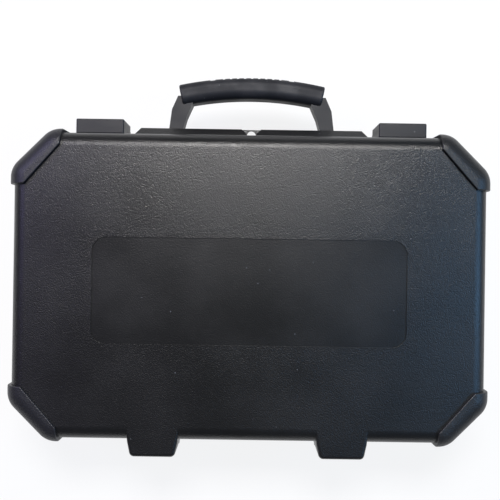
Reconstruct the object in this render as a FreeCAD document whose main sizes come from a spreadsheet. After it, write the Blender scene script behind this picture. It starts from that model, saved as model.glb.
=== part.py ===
"""Moulded carrying case for a rotary tool and its flex shaft: closed, latched and lying on its back.

Millimetres. +X runs along the case's width, +Y from the hinge feet to the handle, and +Z up through the lid.
The shells are drawn about the middle of the case's outline. Every sub-part is then moved along Y, so that the
origin is the middle of the whole footprint, feet and handle included, on the surface that the case lies on.
"""
import FreeCAD, Part
import math
import os
import Sketcher

# Driving dimensions, one cell each
SIZES = {
    # shells
    "case_width": 395.0,
    "case_height": 256.0,
    "base_depth": 60.8,
    "lid_depth": 46.8,
    "corner_cut": 32.0,
    "corner_radius": 16.0,
    "edge_radius": 12.0,
    "draft_angle": 1.5,
    "wall": 2.8,
    "rim_proud": 1.2,
    "rim_height": 2.5,
    "tongue_width": 1.2,
    "tongue_height": 3.0,
    "tongue_root": 4.0,
    "tongue_gap": 0.3,
    # recessed panel on the lid
    "panel_width": 259.0,
    "panel_height": 88.0,
    "panel_radius": 12.0,
    "panel_depth": 1.0,
    "panel_drop": 3.4,
    # corner guards
    "guard_thickness": 3.2,
    "guard_width": 41.0,
    "guard_height": 45.0,
    "guard_lip": 12.0,
    "guard_edge": 1.0,
    "guard_seam": 0.3,
    # handle flange with the padlock hole
    "flange_height": 9.5,
    "flange_length": 208.0,
    "flange_slope": 7.0,
    "lid_flange": 3.0,
    "lid_flange_run": 10.0,
    "base_flange": 3.0,
    "padlock_radius": 3.8,
    "padlock_rise": 4.9,
    "padlock_notch": 9.5,
    "padlock_room": 0.6,
    # feet that carry the hinges
    "foot_spacing": 155.6,
    "foot_width": 41.5,
    "foot_taper": 2.5,
    "foot_reach": 11.8,
    "foot_root": 14.0,
    "foot_corner": 4.0,
    "foot_edge": 3.0,
    "foot_stop_angle": 50.0,
    "hinge_offset": 6.3,
    "knuckle_radius": 5.5,
    "knuckle_length": 16.6,
    "knuckle_gap": 0.4,
    "hinge_pin_radius": 2.0,
    "running_gap": 0.05,
    # latches
    "latch_spacing": 263.0,
    "latch_width": 41.5,
    "latch_wall": 3.0,
    "latch_rise": 15.5,
    "latch_reach": 12.0,
    "latch_lift": 2.6,
    "latch_edge": 1.2,
    "latch_barrel": 5.2,
    "latch_side_gap": 0.5,
    "latch_pivot_back": 20.0,
    "latch_pivot_rise": 6.0,
    "latch_pin_radius": 1.6,
    "latch_tail": 2.5,
    "boss_radius": 5.0,
    "catch_height": 6.0,
    "catch_depth": 5.6,
    "catch_gap": 0.4,
    # handle
    "handle_rise": 47.2,
    "handle_span": 146.4,
    "handle_leg": 12.2,
    "handle_lean": 7.7,
    "handle_eye": 7.0,
    "handle_leg_top": 9.0,
    "handle_pin_radius": 2.5,
    "handle_side_gap": 0.7,
    "handle_pivot_drop": 6.0,
    "handle_back_gap": 0.6,
    "well_floor_gap": 1.5,
    "ear_width": 10.0,
    "grip_height": 19.0,
    "grip_depth": 24.0,
    "grip_round": 7.5,
    "grip_arc_radius": 300.0,
    "grip_half_angle": 12.55,
    "grip_edge": 1.5,
    "grip_groove": 1.3,
    "grip_groove_width": 2.0,
    "grip_groove_angle": 1.2,
    "grip_wide_groove": 4.6,
    "grip_wide_angle": 6.7,
    "core_height": 9.0,
    "core_depth": 12.0,
    "core_half_angle": 11.6,
    # inside
    "tray_top": 60.0,
    "tray_skin": 2.0,
    "tray_gap": 0.8,
    "pocket_radius": 9.0,
    "nest_west": -166.0,
    "nest_east": 62.0,
    "nest_south": -104.0,
    "nest_north": -40.0,
    "nest_web": 8.0,
    "saddle_radius": 27.0,
    "saddle_rise": 36.0,
    "saddle_width": 3.0,
    "saddle_spacing": 110.0,
    "bin_north": 96.0,
    "hub_radius": 26.0,
    "box_east": 166.0,
    "box_gap": 1.0,
    "box_height": 38.0,
    "box_wall": 1.6,
    "box_rows": 4.0,
    "box_columns": 2.0,
    "foam_thickness": 14.0,
    "foam_inset": 14.0,
}

doc = FreeCAD.newDocument("carrying_case")
sheet = doc.addObject("Spreadsheet::Sheet", "Sizes")
for row, (alias, value) in enumerate(SIZES.items(), start=1):
    sheet.set(f"A{row}", alias)
    sheet.set(f"B{row}", str(value))
    sheet.setAlias(f"B{row}", alias)
doc.recompute()


class Length:
    """A size in millimetres, or an angle in degrees, together with the sheet expression that gives it."""

    def __init__(self, value, text):
        self.value = float(value)
        self.text = text

    def __add__(self, other):
        other = length(other)
        return Length(self.value + other.value, f"({self.text} + {other.text})")

    def __sub__(self, other):
        other = length(other)
        return Length(self.value - other.value, f"({self.text} - {other.text})")

    def __mul__(self, other):
        other = length(other)
        return Length(self.value * other.value, f"({self.text} * {other.text})")

    def __truediv__(self, other):
        other = length(other)
        return Length(self.value / other.value, f"({self.text} / {other.text})")

    def __neg__(self):
        return Length(-self.value, f"(0 - {self.text})")

    def __radd__(self, other):
        return length(other) + self

    def __rsub__(self, other):
        return length(other) - self

    def __rmul__(self, other):
        return length(other) * self

    def __float__(self):
        return self.value


def length(number):
    """Turns a plain number into a Length."""
    if isinstance(number, Length):
        return number
    return Length(number, f"({number})")


def size(alias):
    """A cell of the sheet as a Length."""
    return Length(sheet.get(alias), f"Sizes.{alias}")


def sine(angle):
    return Length(math.sin(math.radians(angle.value)), f"sin({angle.text} * 1 deg)")


def cosine(angle):
    return Length(math.cos(math.radians(angle.value)), f"cos({angle.text} * 1 deg)")


def tangent(angle):
    return Length(math.tan(math.radians(angle.value)), f"tan({angle.text} * 1 deg)")


def bind(target, name, amount):
    """Ties a property of an object to the sheet."""
    target.setExpression(name, length(amount).text)


PLACED_Y = {}


def place(target, x=0, y=0, z=0):
    PLACED_Y[target.Name] = length(y)
    bind(target, "Placement.Base.x", x)
    bind(target, "Placement.Base.y", y)
    bind(target, "Placement.Base.z", z)


# Levels and lines that several sub-parts share
wall = size("wall")
guard = size("guard_thickness")
half_width = size("case_width") / 2
half_height = size("case_height") / 2
parting = size("base_depth") + guard
lid_face = parting + size("lid_depth")
top = half_height
bottom = -half_height
flange_top = top + size("flange_height")
hinge_y = bottom - size("hinge_offset")
foot_tip = bottom - size("foot_reach")
handle_top = flange_top + size("handle_rise")
middle_y = (handle_top + foot_tip) / 2
FOOT_X = [size("foot_spacing") / -2, size("foot_spacing") / 2]
LATCH_X = [size("latch_spacing") / -2, size("latch_spacing") / 2]
SIDES = ["left", "right"]


# Building blocks

def origin_plane(body, role):
    return next(feature for feature in body.Origin.OriginFeatures if feature.Role == role)


def pin_point(sketch, edge, end, x, y):
    """Holds one end of a sketch line or arc at x, y."""
    for axis, kind, amount in ((-2, "DistanceX", x), (-1, "DistanceY", y)):
        amount = length(amount)
        if amount.text == "(0)":
            sketch.addConstraint(Sketcher.Constraint("PointOnObject", edge, end, axis))
            continue
        index = sketch.addConstraint(Sketcher.Constraint(kind, -1, 1, edge, end, amount.value))
        sketch.setExpression(f"Constraints[{index}]", amount.text)


def outline(body, plane, offset, points):
    """A closed sketch through the points, which all stand at named sizes."""
    sketch = body.newObject("Sketcher::SketchObject", "Outline")
    sketch.AttachmentSupport = [(origin_plane(body, plane), "")]
    sketch.MapMode = "FlatFace"
    bind(sketch, "AttachmentOffset.Base.z", offset)
    corners = [FreeCAD.Vector(float(length(x)), float(length(y)), 0) for x, y in points]
    for index, start in enumerate(corners):
        sketch.addGeometry(Part.LineSegment(start, corners[(index + 1) % len(corners)]))
    for index in range(len(corners)):
        follower = (index + 1) % len(corners)
        sketch.addConstraint(Sketcher.Constraint("Coincident", index, 2, follower, 1))
    for index, (x, y) in enumerate(points):
        pin_point(sketch, index, 1, x, y)
    return sketch


def prism(label, points, start, height, plane="XY_Plane", draft=None, reverse=False):
    """A body padded from a polygon, square to its plane."""
    body = doc.addObject("PartDesign::Body", "Body")
    body.Label = label
    sketch = outline(body, plane, start, points)
    pad = body.newObject("PartDesign::Pad", "Pad")
    pad.Profile = sketch
    bind(pad, "Length", height)
    pad.Reversed = reverse
    if draft is not None:
        bind(pad, "TaperAngle", -draft)
    doc.recompute([sketch, pad, body])
    return body


def upright(edge):
    """Whether an edge rises along Z."""
    ends = [vertex.Point for vertex in edge.Vertexes]
    return len(ends) == 2 and abs(ends[0].z - ends[1].z) > 0.9 * edge.Length


def at_level(edge, level):
    """Whether an edge lies at one height."""
    return all(abs(vertex.Z - level) < 0.01 for vertex in edge.Vertexes)


def round_body(body, chosen, radius):
    """Fillets the chosen edges of a body."""
    tip = body.Tip
    names = [f"Edge{index}" for index, edge in enumerate(tip.Shape.Edges, start=1) if chosen(edge)]
    fillet = body.newObject("PartDesign::Fillet", "Fillet")
    fillet.Base = (tip, names)
    bind(fillet, "Radius", radius)
    doc.recompute([fillet, body])
    return body


def block(label, x, y, z):
    """A box between pairs of x, y and z."""
    box = doc.addObject("Part::Box", "Box")
    box.Label = label
    for name, (low, high) in zip(("Length", "Width", "Height"), (x, y, z)):
        bind(box, name, length(high) - low)
    place(box, x[0], y[0], z[0])
    return box


def rod(label, x, y, z, radius, axis="Z"):
    """A cylinder; the pair among x, y and z gives its ends."""
    cylinder = doc.addObject("Part::Cylinder", "Cylinder")
    cylinder.Label = label
    low, high = {"X": x, "Y": y, "Z": z}[axis]
    bind(cylinder, "Radius", radius)
    bind(cylinder, "Height", length(high) - low)
    turn = {"X": (0, 1, 0, 90), "Y": (1, 0, 0, -90), "Z": (0, 0, 1, 0)}[axis]
    cylinder.Placement.Rotation = FreeCAD.Rotation(FreeCAD.Vector(*turn[:3]), turn[3])
    start = {"X": (low, y, z), "Y": (x, low, z), "Z": (x, y, low)}[axis]
    place(cylinder, *start)
    return cylinder


def fuse(label, *shapes):
    joined = doc.addObject("Part::MultiFuse", "Fuse")
    joined.Label = label
    joined.Shapes = list(shapes)
    joined.Refine = True
    return joined


def cut(label, base, *tools):
    """The base less its tools, which are fused first where there are several."""
    result = doc.addObject("Part::Cut", "Cut")
    result.Label = label
    result.Base = base
    result.Tool = tools[0] if len(tools) == 1 else fuse(f"{label} tools", *tools)
    result.Refine = True
    return result


def common(label, base, tool):
    result = doc.addObject("Part::Common", "Common")
    result.Label = label
    result.Base = base
    result.Tool = tool
    return result


NODES = []


def node(name, piece):
    """Names a finished sub-part and moves it to the part's own origin."""
    piece.Label = name
    bind(piece, "Placement.Base.y", PLACED_Y.get(piece.Name, length(0)) - middle_y)
    NODES.append(piece)
    return piece


def octagon(grow):
    """The case's outline, moved outwards by grow, from the top left corner clockwise."""
    across = half_width + grow
    up = half_height + grow
    corner = size("corner_cut") + length(grow) * (2 - math.sqrt(2))
    return [
        (-across, up - corner), (-across + corner, up), (across - corner, up), (across, up - corner),
        (across, -up + corner), (across - corner, -up), (-across + corner, -up), (-across, -up + corner),
    ]


def ring(label, outer, inner, start, height):
    """A band that follows the outline, between two distances outside it."""
    radius = size("corner_radius")
    outside = round_body(prism(f"{label} outside", octagon(outer), start, height), upright, radius + outer)
    inside = round_body(prism(f"{label} inside", octagon(inner), start, height), upright, radius + inner)
    return cut(label, outside, inside)


def pan(label, grow, depth, down):
    """The solid form of a shell: drafted walls from the parting line to a rounded face."""
    body = prism(label, octagon(grow), parting, depth, draft=size("draft_angle"), reverse=down)
    round_body(body, upright, size("corner_radius") + grow)
    level = parting.value - float(depth) if down else parting.value + float(depth)
    return round_body(body, lambda edge: at_level(edge, level), size("edge_radius") + grow)


# Forms that belong to both shells

def foot(label, x, down):
    """A flat-ended foot that carries one hinge, flush with the shell's face."""
    half = size("foot_width") / 2
    tip = half - size("foot_taper")
    reach, root = size("foot_reach"), size("foot_root")
    points = [
        (x - half, bottom + root), (x + half, bottom + root), (x + half, bottom),
        (x + tip, bottom - reach), (x - tip, bottom - reach), (x - half, bottom),
    ]
    depth = size("base_depth") if down else size("lid_depth")
    body = prism(label, points, parting, depth, reverse=down)
    level = parting.value - depth.value if down else parting.value + depth.value
    edge_at_tip = foot_tip.value
    round_body(body, lambda edge: upright(edge) and abs(edge.CenterOfMass.y - edge_at_tip) < 0.1, size("foot_corner"))
    return round_body(
        body, lambda edge: at_level(edge, level) and edge.CenterOfMass.y < edge_at_tip + 5.0, size("foot_edge"))


def foot_relief(label, x, down):
    """The wedge past the hinge axis that lets the lid swing until the two feet meet."""
    across = size("foot_width") / 2 + 1
    run = size("foot_reach")
    fall = tangent(size("foot_stop_angle")) * run
    tilt = -fall if down else fall
    points = [(hinge_y, parting), (hinge_y - run, parting), (hinge_y - run, parting + tilt)]
    if down:
        points.reverse()
    return prism(label, points, x - across, across * 2, plane="YZ_Plane")


def foot_hollow(label, x, down):
    """The hollow that opens each foot to the inside of the shell."""
    half = size("foot_width") / 2 - size("foot_taper") - wall
    axis_room = size("knuckle_radius") + wall
    across = (x - half, x + half)
    along = (bottom - size("foot_reach") + wall, bottom + size("foot_root") + wall)
    if down:
        return block(label, across, along, (guard + wall, parting - axis_room))
    return block(label, across, along, (parting + axis_room, lid_face - wall))


def knuckle_ends(x, outer):
    """The ends of one hinge's knuckles: the base has the middle one, the lid the outer two."""
    inner = size("knuckle_length") / 2
    end = size("foot_width") / 2 - size("foot_taper")
    if not outer:
        return [(x - inner, x + inner)]
    gap = size("knuckle_gap")
    return [(x - end, x - inner - gap), (x + inner + gap, x + end)]


def knuckles(label, x, outer, grow=0, length_grow=0):
    return [
        rod(f"{label} {index}", (start - length_grow, end + length_grow), hinge_y, parting,
            size("knuckle_radius") + grow, axis="X")
        for index, (start, end) in enumerate(knuckle_ends(x, outer))
    ]


def hinge_bore(label, x, gap):
    across = size("foot_width") / 2 + 1
    return rod(label, (x - across, x + across), hinge_y, parting, size("hinge_pin_radius") + gap, axis="X")


def flange_outline(start, height):
    """The flange behind the handle, seen square to the lid."""
    foot_half = size("flange_length") / 2
    tip_half = foot_half - size("flange_slope")
    points = [(-foot_half, top), (-tip_half, flange_top), (tip_half, flange_top), (foot_half, top),
              (foot_half, top - wall), (-foot_half, top - wall)]
    return prism("flange outline", points, start, height)


def guard_outline(across, up):
    """One corner guard seen square to the lid; across and up are -1 or 1."""
    side = half_width * across
    end = half_height * up
    far = size("corner_cut")
    width, height, lip = size("guard_width"), size("guard_height"), size("guard_lip")
    points = [
        (side + far * across, end + far * up), (side - width * across, end + far * up),
        (side - width * across, end - lip * up), (side - lip * across, end - height * up),
        (side + far * across, end - height * up),
    ]
    if across * up < 0:
        points.reverse()
    return points


def add_guards(half, down, shell_form):
    """Four corner guards that cap the shell's corners."""
    depth = size("base_depth") if down else size("lid_depth")
    over = pan(f"{half} guard form", guard, depth + guard, down)
    seam = size("guard_seam")
    rim = ring(f"{half} guard rim", size("rim_proud"), -wall,
               parting - size("rim_height") if down else parting, size("rim_height"))
    under = fuse(f"{half} guard core", shell_form, rim)
    start = parting - seam if down else parting + seam
    for up, upper in ((1, "top"), (-1, "bottom")):
        for across, side in ((-1, "left"), (1, "right")):
            zone = prism(f"{half} guard zone {upper} {side}", guard_outline(across, up), start,
                         depth + guard * 2, reverse=down)
            cap = cut(f"{half} guard cap {upper} {side}", common("guard block", over, zone), under)
            node(f"{half}_guard_{upper}_{side}", rounded_guard(cap, across, up))


def rounded_guard(cap, across, up):
    """Rounds the guard's inner step, where it stands proud of the shell."""
    doc.recompute()
    side = half_width.value * across
    end = half_height.value * up
    width, height = size("guard_width").value, size("guard_height").value
    lip = size("guard_lip").value
    proud = size("guard_thickness").value

    def on_step(point):
        inner_x = abs(point.x - (side - width * across)) < 0.01
        inner_y = abs(point.y - (end - height * up)) < 0.01
        along = (side - point.x) * across
        down = (end - point.y) * up
        slant = abs((along - lip) * (height - lip) + (down - lip) * (width - lip) - (height - lip) * (width - lip))
        return inner_x or inner_y or slant < 0.5

    chosen = []
    for edge in cap.Shape.Edges:
        points = [edge.valueAt(edge.FirstParameter + (edge.LastParameter - edge.FirstParameter) * step / 4)
                  for step in range(5)]
        if not all(on_step(point) for point in points):
            continue
        outward = Part.Vertex(points[2]).distToShape(cap_core(cap))[0]
        if outward > proud * 0.8:
            chosen.append(edge)
    rounded = doc.addObject("Part::Feature", "Guard")
    rounded.Shape = cap.Shape.makeFillet(size("guard_edge").value, chosen)
    return rounded


def cap_core(cap):
    return cap.Tool.Shape


# The handle's pivots, which the base shell makes room for
pivot_y = flange_top - size("handle_pivot_drop")
pivot_z = parting - size("base_flange") - size("handle_back_gap") - size("handle_eye")
leg_outside = size("handle_span") / 2
leg_inside = leg_outside - size("handle_leg")
well_side = leg_outside + size("handle_side_gap")
well_floor = pivot_y - size("grip_depth") / 2 - size("well_floor_gap")

# The latches' pivots
latch_pivot_y = top + size("latch_pivot_rise")
latch_pivot_z = parting - size("latch_pivot_back")
latch_front = parting + size("latch_reach")
boss_half = size("latch_width") / 2 - size("latch_wall") - size("latch_side_gap")


def base_tongue():
    """The lip that locates the lid, half the wall thick."""
    inner = size("tongue_width") - wall
    return ring("base tongue", inner, -wall, parting - size("tongue_root"),
                size("tongue_root") + size("tongue_height"))


def handle_ears():
    """The two ears beside the handle well, each with a bore for a handle pin."""
    ears = []
    for side, name in ((-1, "left"), (1, "right")):
        inner = well_side * side
        outer = (well_side + size("ear_width")) * side
        across = (outer, inner) if side < 0 else (inner, outer)
        round_end = rod(f"ear end {name}", across, pivot_y, pivot_z, size("handle_pivot_drop"), axis="X")
        body = block(f"ear {name}", across, (top - wall, flange_top),
                     (pivot_z, parting - size("base_flange")))
        root = block(f"ear root {name}", across, (top - wall, pivot_y),
                     (pivot_z - size("handle_pivot_drop"), pivot_z))
        ears += [round_end, body, root]
    return ears


def latch_bosses():
    """The two bosses that the latches turn on."""
    bosses = []
    for x in LATCH_X:
        across = (x - boss_half, x + boss_half)
        radius = size("boss_radius")
        bosses.append(rod("boss round", across, latch_pivot_y, latch_pivot_z, radius, axis="X"))
        bosses.append(block("boss root", across, (top - wall, latch_pivot_y),
                            (latch_pivot_z - radius, latch_pivot_z + radius)))
    return bosses


def base_shell():
    outer = pan("base outer form", 0, size("base_depth"), True)
    rim = ring("base rim bead", size("rim_proud"), -wall, parting - size("rim_height"), size("rim_height"))
    flange = common("base flange", block("base flange slab", (-half_width, half_width), (top - wall, flange_top),
                                         (parting - size("base_flange"), parting)),
                    flange_outline(parting - size("base_flange"), size("base_flange")))
    feet = [foot(f"base foot {side}", x, True) for side, x in zip(SIDES, FOOT_X)]
    reliefs = [foot_relief(f"base foot relief {side}", x, True) for side, x in zip(SIDES, FOOT_X)]
    room = [rod_ for side, x in zip(SIDES, FOOT_X)
            for rod_ in knuckles(f"base knuckle room {side}", x, True, size("knuckle_gap"), size("knuckle_gap"))]
    barrels = [rod_ for side, x in zip(SIDES, FOOT_X) for rod_ in knuckles(f"base knuckle {side}", x, False)]
    legs = cut("base feet", fuse("base feet whole", *feet), *reliefs, *room)
    bead = cut("base bead", rim, *room)
    solid = fuse("base solid", outer, bead, flange, legs, *handle_ears(), *latch_bosses(), *barrels)
    cavity = cut("base cavity", pan("base inner form", -wall, size("base_depth") - wall, True),
                 block("well walls", (-well_side - wall, well_side + wall), (well_floor - wall, top + wall),
                       (0, parting)))
    hollows = [foot_hollow(f"base foot hollow {side}", x, True) for side, x in zip(SIDES, FOOT_X)]
    well = block("handle well", (-well_side, well_side), (well_floor, flange_top + wall),
                 (-wall, parting - size("base_flange")))
    bores = [hinge_bore(f"base hinge bore {side}", x, 0) for side, x in zip(SIDES, FOOT_X)]
    bores.append(rod("padlock hole", 0, top + size("padlock_rise"),
                     (parting - size("base_flange") - wall, parting + wall), size("padlock_radius")))
    for side in (-1, 1):
        ends = (well_side * side, (well_side + size("ear_width")) * side)
        across = (ends[1], ends[0]) if side < 0 else ends
        bores.append(rod("handle pin bore", across, pivot_y, pivot_z, size("handle_pin_radius"), axis="X"))
    for x in LATCH_X:
        bores.append(rod("latch pin bore", (x - boss_half, x + boss_half), latch_pivot_y, latch_pivot_z,
                         size("latch_pin_radius"), axis="X"))
    shell = cut("base hollow", solid, cavity, *hollows, well, *bores)
    node("base_shell", fuse("base with tongue", shell, base_tongue()))
    return outer


def lid_flange():
    """The lid's part of the handle flange: its front slopes down to the wall."""
    rise, thick, run = size("flange_height"), size("lid_flange"), size("lid_flange_run")
    profile = [(top - wall, parting), (flange_top, parting), (flange_top, parting + thick),
               (top + rise / 4, parting + run), (top - wall, parting + run + wall)]
    across = size("flange_length") / 2
    slab = prism("lid flange slab", profile, -across, across * 2, plane="YZ_Plane")
    return common("lid flange", slab, flange_outline(parting, run + wall))


def padlock_gap():
    """The notch in the lid's flange that leaves the base's padlock hole clear."""
    radius = size("padlock_radius") + size("padlock_room")
    centre = top + size("padlock_rise")
    half = size("padlock_notch")
    height = (parting - wall, parting + size("lid_flange_run") + wall * 2)
    funnel = prism("padlock funnel", [(-radius, centre), (-half, flange_top + 1), (half, flange_top + 1),
                                      (radius, centre)], height[0], height[1] - height[0])
    return [funnel, rod("padlock seat", 0, centre, height, radius)]


def panel_recess():
    half = size("panel_width") / 2
    up = size("panel_height") / 2
    drop = size("panel_drop")
    points = [(-half, up - drop), (half, up - drop), (half, -up - drop), (-half, -up - drop)]
    recess = prism("panel recess", points, lid_face - size("panel_depth"), size("panel_depth") + 1)
    return round_body(recess, upright, size("panel_radius"))


def lid_shell():
    outer = pan("lid outer form", 0, size("lid_depth"), False)
    rim = ring("lid rim bead", size("rim_proud"), -wall, parting, size("rim_height"))
    feet = [foot(f"lid foot {side}", x, False) for side, x in zip(SIDES, FOOT_X)]
    reliefs = [foot_relief(f"lid foot relief {side}", x, False) for side, x in zip(SIDES, FOOT_X)]
    room = [rod_ for side, x in zip(SIDES, FOOT_X)
            for rod_ in knuckles(f"lid knuckle room {side}", x, False, size("knuckle_gap"), size("knuckle_gap"))]
    barrels = [rod_ for side, x in zip(SIDES, FOOT_X) for rod_ in knuckles(f"lid knuckle {side}", x, True)]
    legs = cut("lid feet", fuse("lid feet whole", *feet), *reliefs, *room)
    bead = cut("lid bead", rim, *room)
    catches = []
    for x in LATCH_X:
        front = latch_front - size("latch_wall") - size("catch_gap")
        catches.append(block("catch", (x - boss_half, x + boss_half), (top - wall, top + size("catch_height")),
                             (front - size("catch_depth"), front)))
    solid = fuse("lid solid", outer, bead, lid_flange(), legs, *catches, *barrels)
    rebate_edge = size("tongue_width") + size("tongue_gap") - wall
    rebate = round_body(prism("tongue rebate", octagon(rebate_edge), parting - 1,
                              size("tongue_height") + size("tongue_gap") + 1),
                        upright, size("corner_radius") + rebate_edge)
    hollows = [foot_hollow(f"lid foot hollow {side}", x, False) for side, x in zip(SIDES, FOOT_X)]
    bores = [hinge_bore(f"lid hinge bore {side}", x, size("running_gap")) for side, x in zip(SIDES, FOOT_X)]
    node("lid_shell", cut("lid hollow", solid, pan("lid inner form", -wall, size("lid_depth") - wall, False),
                          rebate, *hollows, panel_recess(), *padlock_gap(), *bores))
    return outer


def hinge_pins():
    reach = size("foot_width") / 2 - size("foot_taper") - size("knuckle_gap")
    for side, x in zip(SIDES, FOOT_X):
        node(f"hinge_pin_{side}", rod("pin", (x - reach, x + reach), hinge_y, parting,
                                      size("hinge_pin_radius"), axis="X"))


def latch(side, x):
    """A cap that turns on the base's boss and closes over the lid's catch."""
    half = size("latch_width") / 2
    roof = top + size("latch_rise")
    barrel = size("latch_barrel")
    profile = [
        (latch_pivot_y - barrel, latch_pivot_z), (top + size("latch_lift"), latch_front),
        (roof, latch_front), (roof, latch_pivot_z - size("latch_tail")),
        (latch_pivot_y, latch_pivot_z - size("latch_tail")),
    ]
    cover = prism(f"latch cover {side}", profile, x - half, half * 2, plane="YZ_Plane")
    roof_level = roof.value
    front_level = latch_front.value
    round_body(cover, lambda edge: any(
        all(abs(value - level) < 0.01 for value in values) for values, level in (
            ([vertex.Y for vertex in edge.Vertexes], roof_level),
            ([vertex.Z for vertex in edge.Vertexes], front_level))), size("latch_edge"))
    across = (x - half, x + half)
    eye = rod(f"latch eye {side}", across, latch_pivot_y, latch_pivot_z, barrel, axis="X")
    inside = block(f"latch inside {side}", (x - half + size("latch_wall"), x + half - size("latch_wall")),
                   (top - wall, roof - size("latch_wall")),
                   (latch_pivot_z - barrel - 1, latch_front - size("latch_wall")))
    bore = rod(f"latch bore {side}", across, latch_pivot_y, latch_pivot_z,
               size("latch_pin_radius") + size("running_gap"), axis="X")
    node(f"latch_{side}", cut("latch", fuse("latch solid", cover, eye), inside, bore))
    node(f"latch_pin_{side}", rod("pin", (x - half + size("latch_side_gap"), x + half - size("latch_side_gap")),
                                  latch_pivot_y, latch_pivot_z, size("latch_pin_radius"), axis="X"))


def arc_bar(label, radius, height, depth, half_angle, corner, ends):
    """A bar of rounded section, bent about the grip's centre."""
    centre_y = handle_top - size("grip_arc_radius")
    body = doc.addObject("PartDesign::Body", "Body")
    body.Label = label
    half = depth / 2
    points = [(radius - height, -half), (radius, -half), (radius, half), (radius - height, half)]
    sketch = outline(body, "YZ_Plane", 0, points)
    turn = body.newObject("PartDesign::Revolution", "Bend")
    turn.Profile = sketch
    turn.ReferenceAxis = (sketch, ["V_Axis"])
    turn.Midplane = True
    bind(turn, "Angle", half_angle * 2)
    place(body, 0, centre_y, pivot_z)
    doc.recompute([sketch, turn, body])
    if corner is not None:
        round_body(body, lambda edge: edge.Curve.TypeId == "Part::GeomCircle", corner)
    if ends is not None:
        limit = abs(half_angle.value) - 0.1
        round_body(body, lambda edge: math.degrees(
            math.atan2(abs(edge.CenterOfMass.x), edge.CenterOfMass.y)) > limit, ends)
    return body


def handle_leg(side, name):
    """One leg of the handle: leaning in the front view, rounded about its pin in the side view."""
    lean = size("handle_lean")
    rise = size("handle_rise")
    eye_low = pivot_y - size("handle_eye")
    sleeve = handle_top - size("grip_height") / 2 - size("handle_lean")
    points = [
        (leg_inside, eye_low), (leg_outside, eye_low), (leg_outside, flange_top),
        (leg_outside - lean * 0.3, flange_top + rise * 0.38), (leg_outside - lean, sleeve),
        (leg_inside - lean * 1.4, sleeve), (leg_inside - lean * 1.1, flange_top + rise * 0.5),
        (leg_inside - lean * 0.4, flange_top + rise * 0.24), (leg_inside, flange_top),
    ]
    points = [(x * side, y) for x, y in points]
    if side < 0:
        points.reverse()
    eye, crown = size("handle_eye"), size("handle_leg_top")
    front = prism(f"leg front {name}", points, pivot_z - crown, crown * 2)
    profile = [(pivot_y, pivot_z - eye), (handle_top, pivot_z - crown), (handle_top, pivot_z + crown),
               (pivot_y, pivot_z + eye)]
    reach = leg_outside + 1
    tapered = prism(f"leg side {name}", profile, -reach, reach * 2, plane="YZ_Plane")
    eye_round = rod(f"leg eye {name}", (-reach, reach), pivot_y, pivot_z, eye, axis="X")
    return common(f"leg {name}", front, fuse(f"leg side whole {name}", tapered, eye_round))


def grip_grooves():
    """The grooves across the top of the grip: a fine run in the middle and one wide one near each end."""
    radius = size("grip_arc_radius")
    centre_y = handle_top - radius
    deep = size("grip_groove")
    fine = [(step * size("grip_groove_angle").value, size("grip_groove_width")) for step in range(-4, 5)]
    wide = [(side * size("grip_wide_angle").value, size("grip_wide_groove")) for side in (-1, 1)]
    grooves = []
    for angle, width in fine + wide:
        tool = doc.addObject("Part::Box", "Groove")
        bind(tool, "Length", width)
        bind(tool, "Width", deep * 2)
        bind(tool, "Height", size("grip_depth"))
        tool.Placement.Rotation = FreeCAD.Rotation(FreeCAD.Vector(0, 0, 1), -angle)
        lean = length(angle)
        low = radius - deep
        place(tool, sine(lean) * low - cosine(lean) * (width / 2),
              centre_y + cosine(lean) * low + sine(lean) * (width / 2), pivot_z - size("grip_depth") / 2)
        grooves.append(tool)
    return grooves


def handle():
    inset = (size("grip_height") - size("core_height")) / 2
    core = arc_bar("handle core", size("grip_arc_radius") - inset, size("core_height"), size("core_depth"),
                   size("core_half_angle"), None, None)
    legs = [handle_leg(side, name) for side, name in ((-1, "left"), (1, "right"))]
    reach = leg_outside + 1
    bore = rod("handle bore", (-reach, reach), pivot_y, pivot_z,
               size("handle_pin_radius") + size("running_gap"), axis="X")
    frame = cut("handle frame", fuse("handle solid", core, *legs), bore)
    sleeve = arc_bar("grip sleeve", size("grip_arc_radius"), size("grip_height"), size("grip_depth"),
                     size("grip_half_angle"), size("grip_round"), size("grip_edge"))
    node("handle_grip", cut("grip", sleeve, fuse("handle solid for grip", core, *legs), *grip_grooves()))
    node("handle_frame", frame)
    for side, name in ((-1, "left"), (1, "right")):
        ends = ((leg_inside + size("handle_side_gap")) * side, (well_side + size("ear_width")) * side)
        across = (ends[1], ends[0]) if side < 0 else ends
        node(f"handle_pin_{name}", rod("pin", across, pivot_y, pivot_z, size("handle_pin_radius"), axis="X"))


def pocket(label, x, y, floor):
    """The outside and the hollow of one of the tray's pockets."""
    skin = size("tray_skin")
    ceiling = size("tray_top")
    forms = []
    for part, grow, low, high in (("outside", skin, floor, ceiling), ("hollow", 0, floor + skin, ceiling + skin)):
        points = [(x[0] - grow, y[1] + grow), (x[1] + grow, y[1] + grow),
                  (x[1] + grow, y[0] - grow), (x[0] - grow, y[0] - grow)]
        body = prism(f"{label} {part}", points, low, high - low)
        forms.append(round_body(body, upright, size("pocket_radius") + grow))
    return forms


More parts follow.
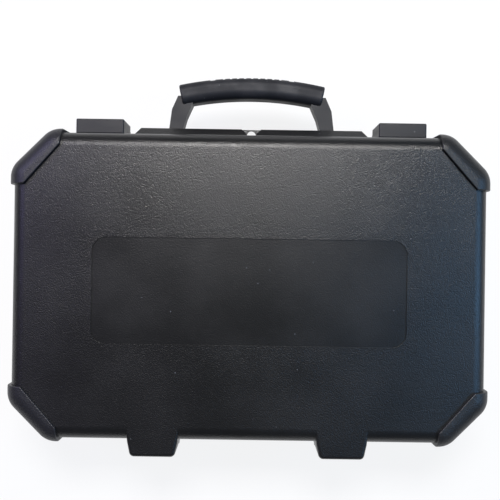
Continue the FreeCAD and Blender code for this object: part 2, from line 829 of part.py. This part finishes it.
def tool_tray():
    """The moulded insert: a nest for the tool, a round bin for the shaft and a pocket for the accessory box."""
    skin = size("tray_skin")
    ceiling = size("tray_top")
    floor = guard + wall
    gap = size("tray_gap")
    inset = length(0) - wall - gap
    plate = prism("tray plate", octagon(inset), ceiling - skin, skin)
    round_body(plate, upright, size("corner_radius") + inset)
    west, east = size("nest_west"), size("nest_east")
    south, north = size("nest_south"), size("nest_north")
    bin_south = north + size("nest_web")
    bin_north = size("bin_north")
    box_west = east + size("nest_web")
    nest = pocket("tool nest", (west, east), (south, north), floor)
    coil_bin = pocket("shaft bin", (west, east), (bin_south, bin_north), floor)
    box_pocket = pocket("box pocket", (box_west, size("box_east")), (south, bin_north), floor)
    hub_x, hub_y = (west + east) / 2, (bin_south + bin_north) / 2
    hub = rod("shaft hub", hub_x, hub_y, (floor, ceiling), size("hub_radius"))
    hub_hollow = rod("hub hollow", hub_x, hub_y, (floor - skin, ceiling - skin), size("hub_radius") - skin)
    well = block("tray well gap", (-well_side - wall - gap, well_side + wall + gap),
                 (well_floor - wall - gap, top), (0, ceiling + skin))
    carved = cut("tray carved", fuse("tray solid", plate, nest[0], coil_bin[0], box_pocket[0]),
                 nest[1], cut("shaft ring", coil_bin[1], hub), box_pocket[1], hub_hollow, well)
    saddles = []
    for side in (-1, 1):
        centre = (west + east) / 2 + size("saddle_spacing") / 2 * side
        half = size("saddle_width") / 2
        web = block("saddle web", (centre - half, centre + half), (south - skin / 2, north + skin / 2),
                    (floor, floor + size("saddle_rise")))
        seat = rod("saddle seat", (centre - half, centre + half), (south + north) / 2,
                   floor + skin * 2 + size("saddle_radius"), size("saddle_radius"), axis="X")
        saddles.append(cut("saddle", web, seat))
    node("tool_tray", fuse("tray with saddles", carved, *saddles))


def accessory_box():
    """An open box with two columns of small compartments, which stands in its pocket of the tray."""
    gap, thin = size("box_gap"), size("box_wall")
    skin = size("tray_skin")
    west = size("nest_east") + size("nest_web") + gap
    east = size("box_east") - gap
    south = size("nest_south") + gap
    north = size("bin_north") - gap
    floor = guard + wall + skin
    body = prism("box outside", [(west, north), (east, north), (east, south), (west, south)], floor,
                 size("box_height"))
    round_body(body, upright, size("pocket_radius") - gap)
    columns, rows = int(size("box_columns").value), int(size("box_rows").value)
    room_x = (east - west - thin) / columns
    room_y = (north - south - thin) / rows
    cells = []
    for column in range(columns):
        for row in range(rows):
            x, y = west + thin + room_x * column, south + thin + room_y * row
            points = [(x, y + room_y - thin), (x + room_x - thin, y + room_y - thin),
                      (x + room_x - thin, y), (x, y)]
            cell = prism(f"box cell {column} {row}", points, floor + thin, size("box_height"))
            cells.append(round_body(cell, upright, size("pocket_radius") - gap - thin))
    node("accessory_box", cut("box", body, *cells))


def lid_foam():
    """The foam pad glued inside the lid."""
    inset = length(0) - size("foam_inset")
    thick = size("foam_thickness")
    pad = prism("foam", octagon(inset), lid_face - wall - thick, thick)
    node("lid_foam", round_body(pad, upright, size("corner_radius")))


def build():
    base_form = base_shell()
    lid_form = lid_shell()
    add_guards("base", True, base_form)
    add_guards("lid", False, lid_form)
    hinge_pins()
    for side, x in zip(SIDES, LATCH_X):
        latch(side, x)
    handle()
    tool_tray()
    accessory_box()
    lid_foam()
    doc.recompute()


def export():
    """Writes one STEP file per sub-part, once every object and every shape is sound."""
    failed = [item.Label for item in doc.Objects if "Invalid" in item.State or "Error" in item.State]
    if failed:
        raise RuntimeError(f"failed objects: {failed}")
    for piece in NODES:
        if piece.Shape.isNull() or not piece.Shape.isValid():
            raise RuntimeError(f"bad shape: {piece.Label}")
    os.makedirs("parts", exist_ok=True)
    for piece in NODES:
        piece.Shape.exportStep(os.path.join("parts", f"{piece.Label}.step"))
        box = piece.Shape.optimalBoundingBox(True)
        spans = [f"{low:.2f}..{high:.2f}" for low, high in
                 ((box.XMin, box.XMax), (box.YMin, box.YMax), (box.ZMin, box.ZMax))]
        print(f"{piece.Label:26} {len(piece.Shape.Solids)} solid(s) {piece.Shape.Volume / 1000:9.2f} cm3 ",
              " ".join(spans))


build()
export()
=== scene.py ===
"""Moulded carrying case for a rotary tool, closed and latched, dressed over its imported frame.

Metres, in the frame's own axes: the case lies on its back, the handle points along +Y and the lid faces +Z.
"""
import math

import bpy
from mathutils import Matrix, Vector

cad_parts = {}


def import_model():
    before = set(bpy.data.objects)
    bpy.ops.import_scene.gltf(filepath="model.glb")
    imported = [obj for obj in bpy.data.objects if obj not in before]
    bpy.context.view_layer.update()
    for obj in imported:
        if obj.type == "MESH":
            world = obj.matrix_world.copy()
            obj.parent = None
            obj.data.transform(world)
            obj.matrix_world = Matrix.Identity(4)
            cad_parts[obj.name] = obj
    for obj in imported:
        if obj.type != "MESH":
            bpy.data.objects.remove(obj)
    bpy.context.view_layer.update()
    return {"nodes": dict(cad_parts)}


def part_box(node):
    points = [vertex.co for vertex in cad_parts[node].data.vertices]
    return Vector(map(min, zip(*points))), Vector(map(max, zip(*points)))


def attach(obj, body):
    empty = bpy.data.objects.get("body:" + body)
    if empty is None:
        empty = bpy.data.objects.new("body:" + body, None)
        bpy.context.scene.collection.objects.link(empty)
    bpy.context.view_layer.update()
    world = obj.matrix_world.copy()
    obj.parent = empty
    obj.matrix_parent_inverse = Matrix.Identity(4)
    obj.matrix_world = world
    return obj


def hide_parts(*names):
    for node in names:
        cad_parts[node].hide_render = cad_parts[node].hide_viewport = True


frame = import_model()

# Half the width that the painted reflection, a slow change of tint, is spread over
PAINTED_REFLECTION_HALF_WIDTH = 0.2

# Share of the pebbled grain that the side walls keep
SIDE_GRAIN_SHARE = 0.10

# How far pebbles stray, in their own widths, and how much of a coarser noise lies over them
PEBBLE_STRAY = 0.8
PEBBLE_COARSE_SHARE = 0.45

# The lid's recessed panel, whose grain is fainter than the rest of the lid's
PANEL_HALF_WIDTH = 0.1295
PANEL_SOUTH = -0.06985
PANEL_NORTH = 0.01815
PANEL_DEPTH = 0.001
PANEL_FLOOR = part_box("lid_shell")[1].z - PANEL_DEPTH
PANEL_TOLERANCE = 0.0004
PANEL_GRAIN_SHARE = 0.50

# Painted reflection: tints of the plastics from the case's left side to its right, purple on the left and
# blue on the right, in place of coloured light reflected from each side
SHELL_PAINTED_REFLECTION_TINTS = [(1.12, 1.00, 1.32), (1.06, 1.03, 1.10), (0.98, 1.00, 1.02),
               (0.86, 1.08, 1.30), (0.80, 1.20, 1.50)]
GUARD_PAINTED_REFLECTION_TINTS = [(1.05, 1.02, 1.50), (1.02, 1.00, 1.15), (1.00, 1.00, 1.00),
               (0.98, 1.04, 1.12), (0.95, 1.08, 1.15)]

# The hollows between the foam's peaks, by the names of the node group's inputs
FOAM_SIZES = {
    "Peak spacing": 0.030,
    "Hollow depth": 0.0065,
    "Face level": 0.094,
    "Rim width": 0.012,
    "Half width": 0.182,
    "Half height": 0.114,
    "Middle": -0.02245,
}

# Share of the foam's rim that stays flat, and how far above its lower face the hollows fade out
FOAM_FLAT_RIM_SHARE = 0.4
FOAM_FADE_START = 0.0005
FOAM_FADE_END = 0.009

# Share of the floor's white glow, against its matt surface, in what the camera and shiny faces see
FLOOR_GLOW_SHARE = 0.86


# Small helpers for node trees

class Tree:
    """A node tree with short calls for the nodes that the finishes share."""

    # Places of the colour sockets on a mix node, since its other kinds use the same names
    MIX_SHARE = 0
    MIX_FIRST = 6
    MIX_SECOND = 7
    MIX_RESULT = 2

    # How much finer detail every noise keeps
    NOISE_ROUGHNESS = 0.55

    # Layout in the node editor
    COLUMN_WIDTH = 180
    ROW_HEIGHT = 160
    ROWS = 4

    def __init__(self, tree):
        self.tree = tree
        self.column = 0

    def add(self, kind, **settings):
        node = self.tree.nodes.new(kind)
        self.column += 1
        node.location = (self.column * self.COLUMN_WIDTH, (self.column % self.ROWS) * -self.ROW_HEIGHT)
        for name, value in settings.items():
            setattr(node, name, value)
        return node

    def feed(self, socket, value):
        """Links a socket to value, or sets it to value, or leaves it alone when value is None."""
        if isinstance(value, bpy.types.NodeSocket):
            self.tree.links.new(value, socket)
        elif value is not None:
            socket.default_value = value

    def math(self, operation, first, second=None, third=None, clamp=False):
        node = self.add("ShaderNodeMath", operation=operation, use_clamp=clamp)
        for socket, value in zip(node.inputs, (first, second, third)):
            self.feed(socket, value)
        return node.outputs[0]

    def split(self, vector):
        """The X, Y and Z of a vector."""
        node = self.add("ShaderNodeSeparateXYZ")
        self.feed(node.inputs[0], vector)
        return node.outputs

    def ramp(self, value, low, high, bottom=0.0, top=1.0, smooth=True):
        """Maps value from low..high to bottom..top, and holds it there outside that range."""
        node = self.add("ShaderNodeMapRange", clamp=True)
        if smooth:
            node.interpolation_type = "SMOOTHSTEP"
        for name, amount in (("Value", value), ("From Min", low), ("From Max", high),
                             ("To Min", bottom), ("To Max", top)):
            self.feed(node.inputs[name], amount)
        return node.outputs[0]

    def mix(self, share, first, second, blend="MIX"):
        node = self.add("ShaderNodeMix", data_type="RGBA", blend_type=blend)
        self.feed(node.inputs[self.MIX_SHARE], share)
        self.feed(node.inputs[self.MIX_FIRST], first)
        self.feed(node.inputs[self.MIX_SECOND], second)
        return node.outputs[self.MIX_RESULT]

    def lay(self, colour, mask, strength, paint):
        """Paint laid over a colour where the mask is one, at the given strength."""
        return self.mix(self.math("MULTIPLY", mask, strength), colour, paint)

    def noise(self, vector, scale, detail):
        node = self.add("ShaderNodeTexNoise")
        self.feed(node.inputs["Vector"], vector)
        self.feed(node.inputs["Scale"], scale)
        self.feed(node.inputs["Detail"], detail)
        self.feed(node.inputs["Roughness"], self.NOISE_ROUGHNESS)
        return node.outputs["Fac"]

    def cells(self, vector, scale, smooth=0.0):
        node = self.add("ShaderNodeTexVoronoi", feature="SMOOTH_F1" if smooth else "F1")
        self.feed(node.inputs["Vector"], vector)
        self.feed(node.inputs["Scale"], scale)
        if smooth:
            self.feed(node.inputs["Smoothness"], smooth)
        return node

    def turned(self, vector, angle, stretch):
        """A vector turned round Z by degrees and stretched along its axes."""
        node = self.add("ShaderNodeMapping")
        self.feed(node.inputs["Vector"], vector)
        node.inputs["Rotation"].default_value = (0.0, 0.0, math.radians(angle))
        node.inputs["Scale"].default_value = stretch
        return node.outputs[0]

    def bump(self, height, strength, distance, below=None):
        """A normal bent by height, on top of the normal below."""
        node = self.add("ShaderNodeBump")
        self.feed(node.inputs["Height"], height)
        self.feed(node.inputs["Strength"], strength)
        node.inputs["Distance"].default_value = distance
        self.feed(node.inputs["Normal"], below)
        return node.outputs[0]


def grey(level, tint=(1.0, 1.0, 1.0)):
    return tuple(level * part for part in tint) + (1.0,)


def new_material(name):
    material = bpy.data.materials.new(name)
    material.use_nodes = True
    tree = Tree(material.node_tree)
    shader = material.node_tree.nodes["Principled BSDF"]
    return material, tree, shader


def painted_reflection_across_case(tree, where, painted_reflection_tints):
    """Painted reflection: the slow change of tint from the case's left side to its right."""
    ramp = tree.add("ShaderNodeValToRGB")
    along = tree.ramp(where["X"], -PAINTED_REFLECTION_HALF_WIDTH, PAINTED_REFLECTION_HALF_WIDTH, smooth=False)
    tree.feed(ramp.inputs[0], along)
    ramp.color_ramp.interpolation = "EASE"
    ramp.color_ramp.elements[0].color = grey(1.0, painted_reflection_tints[0])
    ramp.color_ramp.elements[1].color = grey(1.0, painted_reflection_tints[-1])
    for index, tint in enumerate(painted_reflection_tints[1:-1], start=1):
        element = ramp.color_ramp.elements.new(index / (len(painted_reflection_tints) - 1))
        element.color = grey(1.0, tint)
    return ramp.outputs[0]


def on_panel(tree, where):
    """One on the floor of the lid's recessed panel, nought elsewhere."""
    half = tree.math("LESS_THAN", tree.math("ABSOLUTE", where["X"]), PANEL_HALF_WIDTH)
    south = tree.math("GREATER_THAN", where["Y"], PANEL_SOUTH)
    north = tree.math("LESS_THAN", where["Y"], PANEL_NORTH)
    low = tree.math("LESS_THAN", where["Z"], PANEL_FLOOR + PANEL_TOLERANCE)
    high = tree.math("GREATER_THAN", where["Z"], PANEL_FLOOR - PANEL_TOLERANCE)
    inside = tree.math("MULTIPLY", tree.math("MULTIPLY", half, south), tree.math("MULTIPLY", north, low))
    return tree.math("MULTIPLY", inside, high)


def scratches(tree, vector, angle, amount):
    """Short fine scuffs in patches, all about one way; a larger amount widens the patches."""
    fine = tree.noise(tree.turned(vector, angle, stretch=(14.0, 420.0, 14.0)), scale=1.0, detail=2.0)
    patch = tree.noise(vector, scale=11.0, detail=2.0)
    lines = tree.ramp(fine, 0.70, 0.76, smooth=False)
    return tree.math("MULTIPLY", lines, tree.ramp(patch, 0.60 - amount, 0.74 - amount))


def dust(tree, vector, scale, share):
    """Small pale specks, far apart: one in the middle of each picked cell."""
    spots = tree.cells(vector, scale)
    chance = tree.add("ShaderNodeSeparateColor")
    tree.feed(chance.inputs[0], spots.outputs["Color"])
    picked = tree.math("GREATER_THAN", chance.outputs[0], 1.0 - share)
    dot = tree.ramp(spots.outputs["Distance"], 0.10, 0.22, 1.0, 0.0)
    return tree.math("MULTIPLY", dot, picked)


def pebbles(tree, vector, size):
    """Height of a pebbled grain whose pebbles are about size across, nudged out of their rows."""
    wobble = tree.add("ShaderNodeTexNoise")
    tree.feed(wobble.inputs["Vector"], vector)
    tree.feed(wobble.inputs["Scale"], 300.0)
    warped = tree.add("ShaderNodeVectorMath", operation="MULTIPLY_ADD")
    tree.feed(warped.inputs[0], wobble.outputs["Color"])
    warped.inputs[1].default_value = (size * PEBBLE_STRAY,) * 3
    tree.feed(warped.inputs[2], vector)
    pebble = tree.cells(warped.outputs[0], 1.0 / size, smooth=0.35)
    height = tree.math("SUBTRACT", 1.0, pebble.outputs["Distance"])
    coarse = tree.noise(vector, scale=700.0, detail=2.0)
    return tree.math("ADD", height, tree.math("MULTIPLY", coarse, PEBBLE_COARSE_SHARE))


def moulded_plastic(name, base, painted_reflection_tints, grain=0.00090, roughness=0.33, wear=0.0, panel=False):
    """Black moulded plastic: pebbled on the faces that look along Z, satin on the sides, lightly scuffed.

    base is how light it is, grain how wide one pebble is, and wear how much more it is scuffed. panel is
    for the shell that has the recessed panel.
    """
    material, tree, shader = new_material(name)
    coordinates = tree.add("ShaderNodeTexCoord")
    vector = coordinates.outputs["Object"]
    where = tree.split(vector)
    facing = tree.split(coordinates.outputs["Normal"])
    flatness = tree.math("ABSOLUTE", facing["Z"])
    pebbled = tree.ramp(flatness, 0.30, 0.62, SIDE_GRAIN_SHARE, 1.0)
    if panel:
        share = tree.ramp(on_panel(tree, where), 0.0, 1.0, 1.0, PANEL_GRAIN_SHARE)
        pebbled = tree.math("MULTIPLY", pebbled, share)

    # Colour
    # Painted reflection: the plastic's colour is tinted purple towards the left and blue towards the right
    tint = painted_reflection_across_case(tree, where, painted_reflection_tints)
    cloudy = tree.noise(vector, scale=9.0, detail=4.0)
    colour = tree.mix(1.0, grey(base), tint, "MULTIPLY")
    colour = tree.mix(tree.ramp(cloudy, 0.35, 0.70, 0.0, 0.30), colour, grey(base * 1.5, painted_reflection_tints[1]))
    mottled = tree.noise(vector, scale=260.0, detail=2.0)
    colour = tree.mix(tree.ramp(mottled, 0.45, 0.75, 0.0, 0.28), colour, grey(base * 2.1))
    one_way = scratches(tree, vector, angle=24.0, amount=wear)
    other_way = scratches(tree, vector, angle=-61.0, amount=wear)
    marks = tree.math("ADD", one_way, other_way, clamp=True)
    colour = tree.lay(colour, marks, strength=0.35, paint=grey(0.075))
    specks = dust(tree, vector, scale=420.0, share=0.006)
    colour = tree.lay(colour, specks, strength=0.75, paint=grey(0.20, (0.95, 1.0, 1.08)))
    tree.feed(shader.inputs["Base Color"], colour)

    # Finish
    rough = tree.ramp(cloudy, 0.3, 0.7, roughness - 0.05, roughness + 0.06)
    rough = tree.math("ADD", rough, tree.math("MULTIPLY", marks, 0.12), clamp=True)
    tree.feed(shader.inputs["Roughness"], rough)
    tree.feed(shader.inputs["Specular IOR Level"], 0.5)

    # Grain, slow waves and scuffs
    grain_strength = tree.math("MULTIPLY", pebbled, 0.85)
    grained = tree.bump(pebbles(tree, vector, grain), grain_strength, distance=0.00018)
    waves = tree.noise(vector, scale=26.0, detail=2.0)
    waved = tree.bump(waves, strength=0.15, distance=0.0011, below=grained)
    dug = tree.math("MULTIPLY", marks, -1.0)
    scored = tree.bump(dug, strength=0.3, distance=0.00008, below=waved)
    tree.feed(shader.inputs["Normal"], scored)
    return material


def satin_plastic(name, base, tint, roughness, peel_scale=900.0):
    """Smooth moulded plastic with a faint orange peel and flow marks."""
    material, tree, shader = new_material(name)
    vector = tree.add("ShaderNodeTexCoord").outputs["Object"]
    flow = tree.noise(tree.turned(vector, angle=8.0, stretch=(30.0, 90.0, 30.0)), scale=1.0, detail=3.0)
    colour = tree.mix(tree.ramp(flow, 0.3, 0.75, 0.0, 0.35), grey(base, tint), grey(base * 1.6, tint))
    marks = scratches(tree, vector, angle=12.0, amount=0.03)
    colour = tree.lay(colour, marks, strength=0.3, paint=grey(0.08))
    specks = dust(tree, vector, scale=240.0, share=0.012)
    colour = tree.lay(colour, specks, strength=0.6, paint=grey(0.18))
    tree.feed(shader.inputs["Base Color"], colour)
    tree.feed(shader.inputs["Roughness"], tree.ramp(flow, 0.25, 0.75, roughness - 0.06, roughness + 0.08))
    tree.feed(shader.inputs["Specular IOR Level"], 0.4)
    peel = tree.noise(vector, scale=peel_scale, detail=2.0)
    tree.feed(shader.inputs["Normal"], tree.bump(peel, strength=0.5, distance=0.00006))
    return material


def grip_rubber():
    """Soft rubber with a fine leathery skin, and a painted sheen that makes it a little paler in patches on
    the faces that look up.
    """
    material, tree, shader = new_material("grip rubber")
    coordinates = tree.add("ShaderNodeTexCoord")
    vector = coordinates.outputs["Object"]
    facing = tree.split(coordinates.outputs["Normal"])
    smudge = tree.noise(vector, scale=45.0, detail=4.0)
    # Painted sheen: the colour is paler in patches on the faces that look up, towards the lamps
    painted_sheen_patches = tree.math("MULTIPLY", tree.ramp(facing["Z"], 0.2, 0.9), tree.ramp(smudge, 0.4, 0.65))
    colour = tree.mix(painted_sheen_patches, grey(0.008, (0.92, 0.98, 1.25)), grey(0.018, (0.98, 1.0, 1.15)))
    specks = dust(tree, vector, scale=380.0, share=0.02)
    colour = tree.lay(colour, specks, strength=0.6, paint=grey(0.16))
    tree.feed(shader.inputs["Base Color"], colour)
    tree.feed(shader.inputs["Roughness"], tree.ramp(smudge, 0.3, 0.7, 0.62, 0.50))
    tree.feed(shader.inputs["Specular IOR Level"], 0.32)
    skin = tree.cells(vector, scale=1500.0, smooth=0.4)
    tree.feed(shader.inputs["Normal"], tree.bump(skin.outputs["Distance"], strength=0.5, distance=0.00012))
    return material


def drawn_steel():
    """Plain drawn wire with fine bright lines."""
    material, tree, shader = new_material("drawn steel")
    vector = tree.add("ShaderNodeTexCoord").outputs["Object"]
    lines = tree.noise(tree.turned(vector, angle=0.0, stretch=(2400.0, 60.0, 60.0)), scale=1.0, detail=3.0)
    colour = tree.mix(tree.ramp(lines, 0.3, 0.7), grey(0.42), grey(0.58, (1.0, 0.99, 0.97)))
    tree.feed(shader.inputs["Base Color"], colour)
    tree.feed(shader.inputs["Metallic"], 1.0)
    tree.feed(shader.inputs["Roughness"], tree.ramp(lines, 0.3, 0.7, 0.28, 0.42))
    tree.feed(shader.inputs["Normal"], tree.bump(lines, strength=0.3, distance=0.00004))
    return material


def open_foam():
    """Charcoal open-cell foam: painted shade makes its small pores dark, with pale ridges between them."""
    material, tree, shader = new_material("open-cell foam")
    vector = tree.add("ShaderNodeTexCoord").outputs["Object"]
    pores = tree.cells(vector, scale=620.0)
    broad = tree.noise(vector, scale=70.0, detail=4.0)
    painted_pore_shade = tree.ramp(pores.outputs["Distance"], 0.1, 0.55)
    # Painted shade: the pores, which the bump makes into pits, are darker, and the ridges between them
    # paler
    colour = tree.mix(painted_pore_shade, grey(0.018), grey(0.058, (1.0, 1.0, 1.04)))
    colour = tree.mix(tree.ramp(broad, 0.4, 0.7, 0.0, 0.35), colour, grey(0.085, (1.02, 1.0, 0.98)))
    tree.feed(shader.inputs["Base Color"], colour)
    tree.feed(shader.inputs["Roughness"], 0.92)
    tree.feed(shader.inputs["Specular IOR Level"], 0.15)
    tree.feed(shader.inputs["Sheen Weight"], 0.25)
    tree.feed(shader.inputs["Sheen Roughness"], 0.5)
    height = tree.math("ADD", pores.outputs["Distance"], tree.math("MULTIPLY", broad, 0.4))
    tree.feed(shader.inputs["Normal"], tree.bump(height, strength=0.8, distance=0.0006))
    return material


# Finishes

FINISHES = {
    "lid_shell": moulded_plastic("pebbled lid plastic", base=0.0044, painted_reflection_tints=SHELL_PAINTED_REFLECTION_TINTS, panel=True),
    "base_shell": moulded_plastic("pebbled base plastic", base=0.0044, painted_reflection_tints=SHELL_PAINTED_REFLECTION_TINTS),
    "guard": moulded_plastic("guard plastic", base=0.0085, painted_reflection_tints=GUARD_PAINTED_REFLECTION_TINTS, grain=0.00125,
                             roughness=0.42, wear=0.05),
    "latch": satin_plastic("latch plastic", base=0.0055, tint=(0.95, 0.98, 1.25), roughness=0.46),
    "handle_frame": satin_plastic("handle plastic", base=0.0055, tint=(0.97, 1.0, 1.2), roughness=0.48),
    "handle_grip": grip_rubber(),
    "pin": drawn_steel(),
    "tool_tray": satin_plastic("tray plastic", base=0.0260, tint=(1.0, 1.0, 1.03), roughness=0.34,
                               peel_scale=500.0),
    "accessory_box": satin_plastic("box plastic", base=0.0420, tint=(0.97, 1.0, 1.06), roughness=0.30),
}


def finish_of(name):
    """The finish of a piece: a latch's pin is a pin first, so pins are looked for before latches."""
    for word in ("guard", "pin", "latch"):
        if word in name.split("_"):
            return FINISHES[word]
    return FINISHES[name]


for name, piece in frame["nodes"].items():
    if name == "lid_foam":
        continue
    finish = finish_of(name)
    if not piece.material_slots:
        piece.data.materials.append(finish)
    for slot in piece.material_slots:
        slot.material = finish


# Foam pad, with soft hollows between peaks on the side that faces the tray

def peaks_tree():
    """Geometry nodes that press a chequer of rounded hollows into the pad's lower face."""
    group = bpy.data.node_groups.new("foam peaks", "GeometryNodeTree")
    group.interface.new_socket("Geometry", in_out="INPUT", socket_type="NodeSocketGeometry")
    for label, value in FOAM_SIZES.items():
        socket = group.interface.new_socket(label, in_out="INPUT", socket_type="NodeSocketFloat")
        socket.default_value = value
    group.interface.new_socket("Finish", in_out="INPUT", socket_type="NodeSocketMaterial")
    group.interface.new_socket("Geometry", in_out="OUTPUT", socket_type="NodeSocketGeometry")
    nodes = Tree(group)
    entry = nodes.add("NodeGroupInput").outputs
    leave = nodes.add("NodeGroupOutput")
    place = nodes.split(nodes.add("GeometryNodeInputPosition").outputs[0])

    # Hollows in a chequer
    turn = nodes.math("DIVIDE", math.tau, entry["Peak spacing"])
    wave_x = nodes.math("COSINE", nodes.math("MULTIPLY", place["X"], turn))
    off_middle = nodes.math("SUBTRACT", place["Y"], entry["Middle"])
    wave_y = nodes.math("COSINE", nodes.math("MULTIPLY", off_middle, turn))
    hollow = nodes.math("MULTIPLY_ADD", nodes.math("MULTIPLY", wave_x, wave_y), 0.5, 0.5)

    # None in the rim, and none away from the lower face
    room_x = nodes.math("SUBTRACT", entry["Half width"], nodes.math("ABSOLUTE", place["X"]))
    room_y = nodes.math("SUBTRACT", entry["Half height"], nodes.math("ABSOLUTE", off_middle))
    room = nodes.math("MINIMUM", room_x, room_y)
    flat_rim = nodes.math("MULTIPLY", entry["Rim width"], FOAM_FLAT_RIM_SHARE)
    inner = nodes.ramp(room, flat_rim, entry["Rim width"])
    above_face = nodes.math("SUBTRACT", place["Z"], entry["Face level"])
    near_face = nodes.ramp(above_face, FOAM_FADE_START, FOAM_FADE_END, 1.0, 0.0)
    lift = nodes.math("MULTIPLY", nodes.math("MULTIPLY", hollow, entry["Hollow depth"]),
                      nodes.math("MULTIPLY", inner, near_face))

    offset = nodes.add("ShaderNodeCombineXYZ")
    nodes.feed(offset.inputs["Z"], lift)
    press = nodes.add("GeometryNodeSetPosition")
    nodes.feed(press.inputs["Geometry"], entry["Geometry"])
    nodes.feed(press.inputs["Offset"], offset.outputs[0])
    whole = nodes.add("GeometryNodeRealizeInstances")
    nodes.feed(whole.inputs[0], press.outputs[0])
    painted = nodes.add("GeometryNodeSetMaterial")
    nodes.feed(painted.inputs["Geometry"], whole.outputs[0])
    nodes.feed(painted.inputs["Material"], entry["Finish"])
    nodes.feed(leave.inputs[0], painted.outputs[0])
    return group


def foam_pad():
    """The pad, remeshed finely enough for its peaks, in place of the frame's plain one."""
    pad = bpy.data.objects.new("foam_pad", frame["nodes"]["lid_foam"].data.copy())
    bpy.context.scene.collection.objects.link(pad)
    weld = pad.modifiers.new("Weld", "WELD")
    weld.merge_threshold = 0.00001
    remesh = pad.modifiers.new("Remesh", "REMESH")
    remesh.mode = "VOXEL"
    remesh.voxel_size = 0.0030
    remesh.use_smooth_shade = True
    peaks = pad.modifiers.new("Peaks", "NODES")
    peaks.node_group = peaks_tree()
    foam = open_foam()
    for item in peaks.node_group.interface.items_tree:
        if item.name == "Finish" and item.in_out == "INPUT":
            peaks[item.identifier] = foam
    depsgraph = bpy.context.evaluated_depsgraph_get()
    shaped = bpy.data.meshes.new_from_object(pad.evaluated_get(depsgraph))
    pad.modifiers.clear()
    pad.data = shaped
    shaped.name = "foam_pad"
    if not shaped.materials:
        shaped.materials.append(foam)
    for face in shaped.polygons:
        face.use_smooth = True
    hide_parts("lid_foam")
    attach(pad, "lid")


foam_pad()


# Floor, light and camera

def floor():
    """A white floor that still shows the case's own soft shadow."""
    bpy.ops.mesh.primitive_plane_add(size=12.0, location=(0.0, 0.0, 0.0))
    plane = bpy.context.object
    plane.name = "floor"
    material = bpy.data.materials.new("white floor")
    material.use_nodes = True
    tree = Tree(material.node_tree)
    material.node_tree.nodes.remove(material.node_tree.nodes["Principled BSDF"])
    output = material.node_tree.nodes["Material Output"]
    path = tree.add("ShaderNodeLightPath")
    matt = tree.add("ShaderNodeBsdfDiffuse")
    matt.inputs["Color"].default_value = grey(0.82)
    glow = tree.add("ShaderNodeEmission")
    glow.inputs["Color"].default_value = grey(1.0)
    glow.inputs["Strength"].default_value = 1.0
    seen = tree.math("MAXIMUM", path.outputs["Is Camera Ray"], path.outputs["Is Glossy Ray"])
    seen = tree.math("MAXIMUM", seen, path.outputs["Is Transmission Ray"])
    blend = tree.add("ShaderNodeMixShader")
    tree.feed(blend.inputs[0], tree.math("MULTIPLY", seen, FLOOR_GLOW_SHARE))
    tree.feed(blend.inputs[1], matt.outputs[0])
    tree.feed(blend.inputs[2], glow.outputs[0])
    tree.feed(output.inputs["Surface"], blend.outputs[0])
    plane.data.materials.append(material)


def world():
    """A dim sky that fills in the light, with a white backdrop for what the camera sees directly."""
    scene = bpy.context.scene
    scene.world = bpy.data.worlds.new("studio")
    scene.world.use_nodes = True
    tree = Tree(scene.world.node_tree)
    sky = scene.world.node_tree.nodes["Background"]
    output = scene.world.node_tree.nodes["World Output"]
    sky.inputs["Color"].default_value = (0.93, 0.96, 1.0, 1.0)
    sky.inputs["Strength"].default_value = 0.14
    backdrop = tree.add("ShaderNodeBackground")
    backdrop.inputs["Color"].default_value = grey(1.0)
    backdrop.inputs["Strength"].default_value = 1.0
    path = tree.add("ShaderNodeLightPath")
    seen = tree.math("MAXIMUM", path.outputs["Is Camera Ray"], path.outputs["Is Transmission Ray"])
    blend = tree.add("ShaderNodeMixShader")
    tree.feed(blend.inputs[0], seen)
    tree.feed(blend.inputs[1], sky.outputs[0])
    tree.feed(blend.inputs[2], backdrop.outputs[0])
    tree.feed(output.inputs["Surface"], blend.outputs[0])


def soft_light(name, place, aim, width, height, power, colour):
    """A rectangular lamp at place that looks at aim."""
    data = bpy.data.lights.new(name, "AREA")
    data.shape = "RECTANGLE"
    data.size = width
    data.size_y = height
    data.energy = power
    data.color = colour
    lamp = bpy.data.objects.new(name, data)
    bpy.context.scene.collection.objects.link(lamp)
    lamp.location = place
    lamp.rotation_mode = "QUATERNION"
    lamp.rotation_quaternion = (Vector(aim) - Vector(place)).to_track_quat("-Z", "Y")


def camera():
    """Looks straight down on the lid, a hair off square."""
    data = bpy.data.cameras.new("camera")
    data.sensor_width = 36.0
    data.lens = 52.37
    data.clip_start = 0.01
    data.clip_end = 60.0
    eye = bpy.data.objects.new("camera", data)
    bpy.context.scene.collection.objects.link(eye)
    eye.location = (-0.00053, 0.00663, 0.70696)
    eye.rotation_euler = (0.00366, -0.00133, 0.01484)
    bpy.context.scene.camera = eye


floor()
world()
soft_light("window", place=(-0.02, 0.86, 1.70), aim=(0.0, 0.05, 0.1), width=0.65, height=0.40,
           power=36.0, colour=(1.0, 0.975, 0.955))
soft_light("sky side", place=(1.25, -0.05, 1.25), aim=(0.0, 0.0, 0.1), width=0.7, height=1.2,
           power=13.0, colour=(0.28, 0.58, 1.0))
soft_light("room side", place=(-1.20, 0.60, 1.30), aim=(0.0, 0.0, 0.1), width=0.7, height=0.8,
           power=10.0, colour=(0.58, 0.54, 1.0))
camera()

bpy.context.scene.view_settings.view_transform = "Standard"
